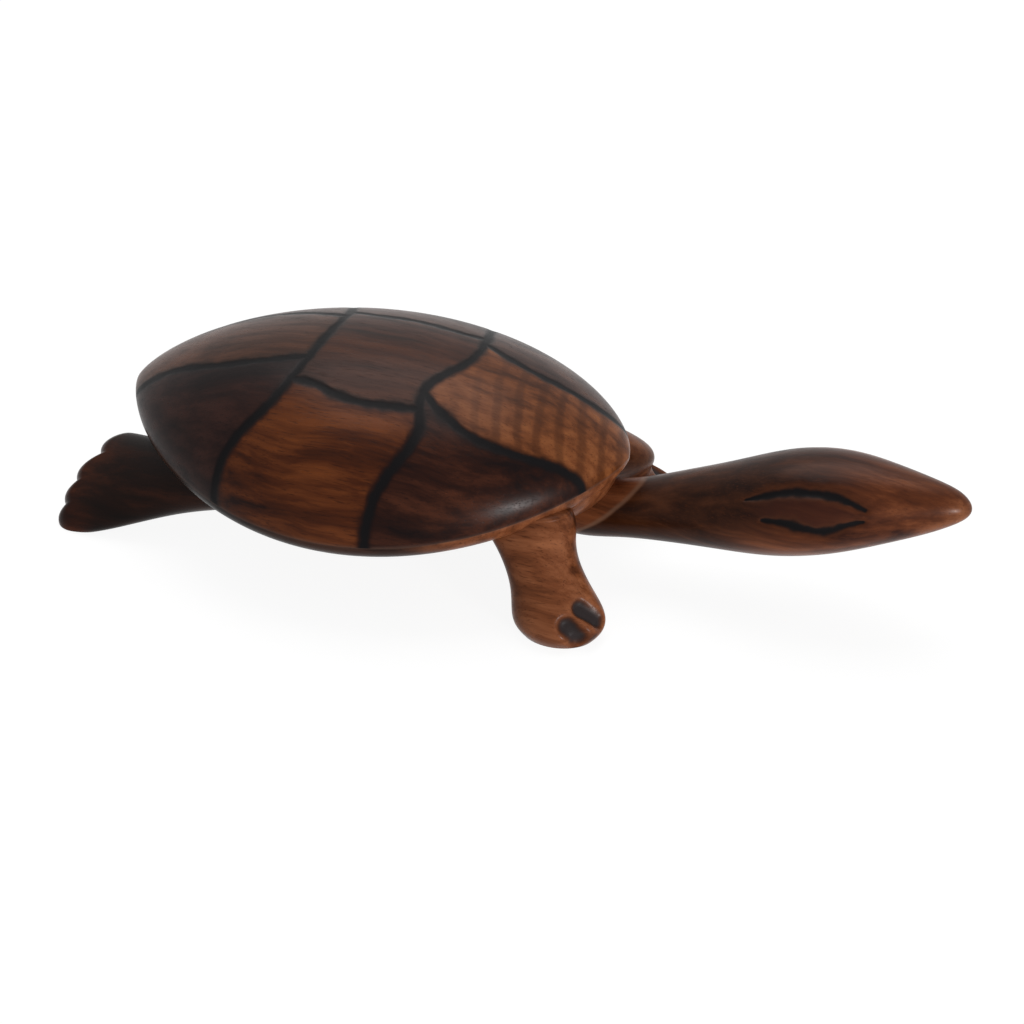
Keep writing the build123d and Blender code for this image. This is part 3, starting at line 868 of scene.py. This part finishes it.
class TURTLE_OT_hind_legs(bpy.types.Operator):
    """Carve the hind paddles with their scalloped toes"""
    bl_idname = "turtle.hind_legs"
    bl_label = "Hind legs"

    def toe_line(self, legs, aside):
        """How far the paddle runs past the foot's middle at a place across it: the soft maximum
        of one bow per toe, tip - (a - tip's place)^2 / (1.3 radius)."""
        bows = [
            legs.toe_lead * reach - (aside - legs.foot_width * place) ** 2 / (1.3 * legs.toe_radius)
            for place, reach in toe_shares
        ]
        return toe_softness * np.log(sum(np.exp(bow / toe_softness) for bow in bows))

    def execute(self, context):
        legs = context.scene.turtle_hind_legs
        turn = np.linspace(0, 2 * pi, 280, endpoint=False)[None, :]
        across, thick = np.cos(turn), np.sin(turn)
        # Shares of the way to the toes, closer together towards them
        share = (1 - np.linspace(1, 0, 130) ** 1.8)[:, None]
        end = legs.foot_reach + self.toe_line(legs, across * legs.foot_width / 2)
        reach = legs.hip_reach + (end - legs.hip_reach) * share
        along = (reach - legs.hip_reach) / (legs.foot_reach - legs.hip_reach)
        wide, deep = (part.reshape(along.shape) for part in section_spline(hind_leg_shares, along.ravel()))
        edge = np.clip((end - reach) / paddle_rounding, 0, 1)
        bulge = np.sqrt(1 - (1 - edge) ** 2)
        tilt = legs.foot_tilt
        outer = np.array([0, -np.cos(tilt), -np.sin(tilt)])
        upper = np.array([0, -np.sin(tilt), np.cos(tilt)])
        centre = np.stack([
            shell_x - reach,
            -(legs.hip_spread + (legs.foot_spread - legs.hip_spread) * along),
            legs.hip_height + (legs.foot_height - legs.hip_height) * along,
        ], axis=-1)
        sideways = (legs.foot_width / 2 * wide * across)[..., None] * outer
        upwards = (legs.foot_thickness / 2 * deep * thick * bulge)[..., None] * upper
        grid = centre + sideways + upwards
        grid[..., 2] = np.maximum(grid[..., 2], 0)
        grid[0] = grid[0].mean(0)
        # The last ring is flat, so its upper and lower halves share their vertices
        index = np.arange(grid.size // 3).reshape(grid.shape[:2])
        index[0] = index[0, 0]
        index[-1] = np.minimum(index[-1], np.roll(index[-1][::-1], 1))
        used, quads = ring_skin(index)
        points = grid.reshape(-1, 3)[used]
        share = np.clip((shell_x - legs.hip_reach - points[:, 0]) / (legs.foot_reach - legs.hip_reach), 0, 1)
        shorter = mirrored(points) + (legs.far_pull * share)[:, None] * np.array([1, 0, 0])
        material = wood(context, "hind_leg")
        for side, place in (("right", points), ("left", shorter)):
            piece = make_piece(f"hind_{side}_leg_carved", place, quads, {"burn": np.zeros(len(points))})
            finish_piece(piece, f"hind_{side}_leg", material)
        return {"FINISHED"}


def node(tree, kind, inputs=None, **settings):
    """A shader node with its settings, and its inputs set or linked."""
    made = tree.nodes.new(kind)
    for name, value in settings.items():
        setattr(made, name, value)
    for name, value in (inputs or {}).items():
        if isinstance(value, bpy.types.NodeSocket):
            tree.links.new(value, made.inputs[name])
        else:
            made.inputs[name].default_value = value
    return made


def mixed(tree, share, first, second):
    """Two colours mixed by a share."""
    return node(tree, "ShaderNodeMix", {0: share, 6: first, 7: second}, data_type="RGBA").outputs[2]


def remapped(tree, value, low, high, first=0.0, last=1.0):
    """A value carried from one range to another, and held at its ends."""
    inputs = {"Value": value, "From Min": low, "From Max": high, "To Min": first, "To Max": last}
    return node(tree, "ShaderNodeMapRange", inputs, interpolation_type="SMOOTHSTEP").outputs[0]


def reckoned(tree, way, first, second=0.0):
    """The result of one sum on two values."""
    return node(tree, "ShaderNodeMath", {0: first, 1: second}, operation=way).outputs[0]


def stretched(tree, place, size_along, size_across, turn=(0, 0, 0)):
    """Coordinates whose unit is size_along down the grain and size_across over it."""
    scale = (1 / size_along, 1 / size_across, 1 / size_across)
    return node(tree, "ShaderNodeMapping", {"Vector": place, "Scale": scale, "Rotation": turn}).outputs[0]


def noise(tree, place, detail, roughness=0.5):
    """Noise with one lump per unit of its coordinates."""
    inputs = {"Vector": place, "Scale": 1.0, "Detail": detail, "Roughness": roughness}
    return node(tree, "ShaderNodeTexNoise", inputs).outputs[0]


def grain_colours(tree, figure, dark, middle, light):
    """The figure of the grain in three colours."""
    ramp = node(tree, "ShaderNodeValToRGB", {"Fac": figure})
    ramp.color_ramp.elements[0].position = 0.36
    ramp.color_ramp.elements[0].color = (*dark, 1)
    ramp.color_ramp.elements[1].position = 0.64
    ramp.color_ramp.elements[1].color = (*light, 1)
    ramp.color_ramp.elements.new(0.50).color = (*middle, 1)
    return ramp.outputs[0]


def marked(tree, label):
    """The strength of one of the piece's own marks."""
    return node(tree, "ShaderNodeAttribute", attribute_name=label).outputs["Fac"]


def bent_place(tree, place):
    """Coordinates that noise bends a little, so that no streak runs straight."""
    inputs = {"Vector": place, "Scale": 90.0, "Detail": 2.0}
    swirl = node(tree, "ShaderNodeTexNoise", inputs).outputs["Color"]
    centred = {0: swirl, 1: (0.5, 0.5, 0.5)}
    swirl = node(tree, "ShaderNodeVectorMath", centred, operation="SUBTRACT").outputs[0]
    swirl = node(tree, "ShaderNodeVectorMath", {0: swirl, "Scale": 3 * mm}, operation="SCALE").outputs[0]
    return node(tree, "ShaderNodeVectorMath", {0: place, 1: swirl}, operation="ADD").outputs[0]


def grain_figure(tree, bent):
    """Long streaks and broader clouds along the body."""
    streaks = noise(tree, stretched(tree, bent, 20 * mm, 1.3 * mm, grain_turn), 4.0, 0.6)
    clouds = noise(tree, stretched(tree, bent, 22 * mm, 5 * mm, grain_turn), 2.0)
    streaks = reckoned(tree, "MULTIPLY", streaks, 0.55)
    clouds = reckoned(tree, "MULTIPLY", clouds, 0.45)
    return reckoned(tree, "ADD", streaks, clouds)


def cross_bars(tree, place, bent, strength):
    """Soft dark bars across the grain, which grow stronger towards the front."""
    fan = node(tree, "ShaderNodeMapping", {"Vector": bent, "Rotation": (0, 0, radians(-14))}).outputs[0]
    inputs = {"Vector": fan, "Scale": 140.0, "Distortion": 1.3, "Detail": 1.0, "Detail Scale": 0.6}
    wave = node(tree, "ShaderNodeTexWave", inputs, bands_direction="X").outputs["Fac"]
    wave = remapped(tree, wave, 0.35, 1.0, 0.0, strength)
    forward = node(tree, "ShaderNodeSeparateXYZ", {"Vector": place}).outputs["X"]
    return reckoned(tree, "MULTIPLY", wave, remapped(tree, forward, -7 * mm, 2 * mm, 0.05, 1.0))


def place_ahead(tree, bent, name):
    """How far ahead of the origin a place lies, along X or, on the neck, along its slant."""
    parts = node(tree, "ShaderNodeSeparateXYZ", {"Vector": bent}).outputs
    if name != "neck_and_head":
        return parts["X"]
    return reckoned(tree, "ADD", reckoned(tree, "SUBTRACT", parts["X"], parts["Z"]), neck_slant)


def head_marks(tree, ahead, colour, colours):
    """The painted sheen line in the crease round the neck's root, and the island within each eye."""
    start, full, fade, end = painted_crease_sheen_places
    # Painted sheen: the crease's strength along the slant, mixed towards a pale colour
    painted_crease_sheen = reckoned(tree, "MULTIPLY", remapped(tree, ahead, start, full), remapped(tree, ahead, end, fade))
    colour = mixed(tree, reckoned(tree, "MULTIPLY", painted_crease_sheen, 0.45), colour, (*colours.painted_crease_sheen, 1))
    island = reckoned(tree, "MULTIPLY", marked(tree, "island"), 0.65)
    return mixed(tree, island, colour, (*colours.island, 1))


def wood(context, name):
    """Waxed wood in the colours of one piece, scorched and charred where it is burnt. Its grain
    runs along the body through all pieces, as they are one block."""
    dark, middle, light, bars = woods[name]
    colours = context.scene.turtle_wood
    material = bpy.data.materials.new(f"wood_{name}")
    material.use_nodes = True
    tree = material.node_tree
    tree.nodes.clear()
    place = node(tree, "ShaderNodeTexCoord").outputs["Object"]
    bent = bent_place(tree, place)
    ahead = place_ahead(tree, bent, name)
    figure = grain_figure(tree, bent)
    colour = grain_colours(tree, figure, dark, middle, light)
    if bars:
        colour = mixed(tree, cross_bars(tree, place, bent, bars), colour, (*dark, 1))
    for start, stop, *shades in further_woods.get(name, []):
        share = remapped(tree, ahead, start * mm, stop * mm)
        colour = mixed(tree, share, colour, grain_colours(tree, figure, *shades))
    pores = noise(tree, stretched(tree, place, 2.2 * mm, 0.16 * mm, grain_turn), 2.0, 0.6)
    pore = remapped(tree, pores, 0.56, 0.70)
    colour = mixed(tree, reckoned(tree, "MULTIPLY", pore, 0.55), colour, (*dark, 1))
    if name == "neck_and_head":
        colour = head_marks(tree, ahead, colour, colours)
    # Painted highlight: the colour turns pale along the rim's edge
    painted_rim_highlight = reckoned(tree, "MULTIPLY", marked(tree, "painted_rim_highlight"), 0.4)
    colour = mixed(tree, painted_rim_highlight, colour, (*colours.painted_rim_highlight, 1))
    edge = noise(tree, stretched(tree, place, 0.9 * mm, 0.9 * mm), 3.0)
    ragged = reckoned(tree, "ADD", marked(tree, "burn"), reckoned(tree, "MULTIPLY", edge, 0.4))
    scorch = remapped(tree, ragged, 0.20, 0.80, 0.0, 0.85)
    burn = remapped(tree, ragged, 0.50, 1.12)
    # On the front legs the gouges take a dark stain lightened to grey, partly a painted sheen
    char = colours.gouge if name == "front_leg" else colours.char
    colour = mixed(tree, scorch, colour, (*dark, 1))
    colour = mixed(tree, burn, colour, (*char, 1))
    gloss = remapped(tree, figure, 0.35, 0.65, 0.34, 0.27)
    dulled = reckoned(tree, "MULTIPLY", reckoned(tree, "MAXIMUM", pore, burn), 0.12)
    height = reckoned(tree, "SUBTRACT", reckoned(tree, "MULTIPLY", edge, 0.5), pore)
    relief = {"Height": height, "Strength": 0.2, "Distance": 0.03 * mm}
    shader = node(tree, "ShaderNodeBsdfPrincipled", {
        "Base Color": colour,
        "Roughness": reckoned(tree, "ADD", gloss, dulled),
        "Normal": node(tree, "ShaderNodeBump", relief).outputs[0],
        "Specular IOR Level": remapped(tree, burn, 0.0, 1.0, 0.08, 0.06),
    })
    node(tree, "ShaderNodeOutputMaterial", {"Surface": shader.outputs[0]})
    return material


def seen_directly(tree):
    """One for rays that show the surface itself, a reflection of it or a view through glass."""
    path = node(tree, "ShaderNodeLightPath").outputs
    either = reckoned(tree, "MAXIMUM", path["Is Camera Ray"], path["Is Glossy Ray"])
    return reckoned(tree, "MAXIMUM", either, path["Is Transmission Ray"])


class TURTLE_OT_studio(bpy.types.Operator):
    """Lay the pale floor, hang the soft lamps and set the camera"""
    bl_idname = "turtle.studio"
    bl_label = "Studio"

    def floor(self, context):
        """A level floor, whose open parts look white and which keeps the turtle's shadow."""
        corners = [
            (-floor_reach, -floor_reach, 0), (floor_reach, -floor_reach, 0),
            (floor_reach, floor_reach, 0), (-floor_reach, floor_reach, 0),
        ]
        mesh = bpy.data.meshes.new("floor")
        mesh.from_pydata(corners, [], [(0, 1, 2, 3)])
        material = bpy.data.materials.new("floor_paper")
        material.use_nodes = True
        tree = material.node_tree
        tree.nodes.clear()
        place = node(tree, "ShaderNodeTexCoord").outputs["Object"]
        grain = noise(tree, stretched(tree, place, 1 * mm, 1 * mm), 2.0)
        rough = remapped(tree, grain, 0.3, 0.7, 0.85, 0.95)
        colour = (*context.scene.turtle_wood.backdrop, 1)
        paper = node(tree, "ShaderNodeBsdfPrincipled", {
            "Base Color": colour, "Roughness": rough, "Specular IOR Level": 0.0,
        })
        glow = node(tree, "ShaderNodeEmission", {"Color": (1, 1, 1, 1), "Strength": glow_strength})
        share = reckoned(tree, "MULTIPLY", seen_directly(tree), glow_share)
        surface = node(tree, "ShaderNodeMixShader", {0: share, 1: paper.outputs[0], 2: glow.outputs[0]})
        node(tree, "ShaderNodeOutputMaterial", {"Surface": surface.outputs[0]})
        mesh.materials.append(material)
        floor = bpy.data.objects.new("floor", mesh)
        context.scene.collection.objects.link(floor)

    def lamp(self, context, name, place, size_across, power):
        """A square soft lamp that faces the turtle."""
        light = bpy.data.lights.new(name, "AREA")
        light.shape = "SQUARE"
        light.size = size_across
        light.energy = power
        lamp = bpy.data.objects.new(name, light)
        target = Vector((0, 0, 12 * mm))
        lamp.location = place
        lamp.rotation_euler = (target - lamp.location).to_track_quat("-Z", "Y").to_euler()
        context.scene.collection.objects.link(lamp)

    def sky(self, context):
        """Even pale light all round, which looks white where it is seen directly."""
        world = bpy.data.worlds.new("studio")
        world.use_nodes = True
        tree = world.node_tree
        tree.nodes.clear()
        further = reckoned(tree, "MULTIPLY", seen_directly(tree), 1 - sky_strength)
        strength = reckoned(tree, "ADD", sky_strength, further)
        light = node(tree, "ShaderNodeBackground", {"Color": (1, 1, 1, 1), "Strength": strength})
        node(tree, "ShaderNodeOutputWorld", {"Surface": light.outputs[0]})
        context.scene.world = world

    def camera(self, context):
        """The photograph's view of the shell's middle, a little off the picture's own middle."""
        right = Vector((np.cos(view_round), np.sin(view_round), 0))
        level = np.cos(view_down)
        back = Vector((np.sin(view_round) * level, -np.cos(view_round) * level, np.sin(view_down)))
        top = back.cross(right)
        shell = context.scene.turtle_shell
        aim = Vector((shell_x, 0, shell.rim_height))
        data = bpy.data.cameras.new("camera")
        data.sensor_width = 36.0
        data.lens = 91.32
        data.clip_start = 0.01
        camera = bpy.data.objects.new("camera", data)
        place = aim + back * view_distance + right * view_right - top * view_drop
        camera.matrix_world = Matrix.Translation(place) @ Matrix((right, top, back)).transposed().to_4x4()
        context.scene.collection.objects.link(camera)
        context.scene.camera = camera

    def execute(self, context):
        self.floor(context)
        self.sky(context)
        for name, (place, size_across, power) in lamps.items():
            self.lamp(context, name, place, size_across, power)
        self.camera(context)
        context.scene.view_settings.view_transform = "Standard"
        return {"FINISHED"}


class TURTLE_PT_panel(bpy.types.Panel):
    """The turtle's pieces and sizes"""
    bl_label = "Carved turtle"
    bl_idname = "TURTLE_PT_panel"
    bl_space_type = "VIEW_3D"
    bl_region_type = "UI"
    bl_category = "Turtle"

    def draw(self, context):
        for operator in operators:
            self.layout.operator(operator.bl_idname)
        for name in groups:
            values = getattr(context.scene, name)
            box = self.layout.box()
            for entry in values.__annotations__:
                box.prop(values, entry)


operators = (
    TURTLE_OT_shell_block, TURTLE_OT_scutes, TURTLE_OT_belly, TURTLE_OT_neck_and_head,
    TURTLE_OT_front_legs, TURTLE_OT_hind_legs, TURTLE_OT_studio,
)
groups = {
    "turtle_shell": TurtleShell, "turtle_belly": TurtleBelly, "turtle_head": TurtleHead,
    "turtle_front_legs": TurtleFrontLegs, "turtle_hind_legs": TurtleHindLegs, "turtle_wood": TurtleWood,
}


def register():
    for part in (*groups.values(), *operators, TURTLE_PT_panel):
        bpy.utils.register_class(part)
    for name, group in groups.items():
        setattr(bpy.types.Scene, name, PointerProperty(type=group))


def unregister():
    for name in groups:
        delattr(bpy.types.Scene, name)
    for part in reversed((*groups.values(), *operators, TURTLE_PT_panel)):
        bpy.utils.unregister_class(part)


def main():
    """Makes every piece and the studio."""
    register()
    bpy.ops.turtle.shell_block()
    bpy.ops.turtle.scutes()
    bpy.ops.turtle.belly()
    bpy.ops.turtle.neck_and_head()
    bpy.ops.turtle.front_legs()
    bpy.ops.turtle.hind_legs()
    bpy.ops.turtle.studio()


if __name__ == "__main__":
    main()
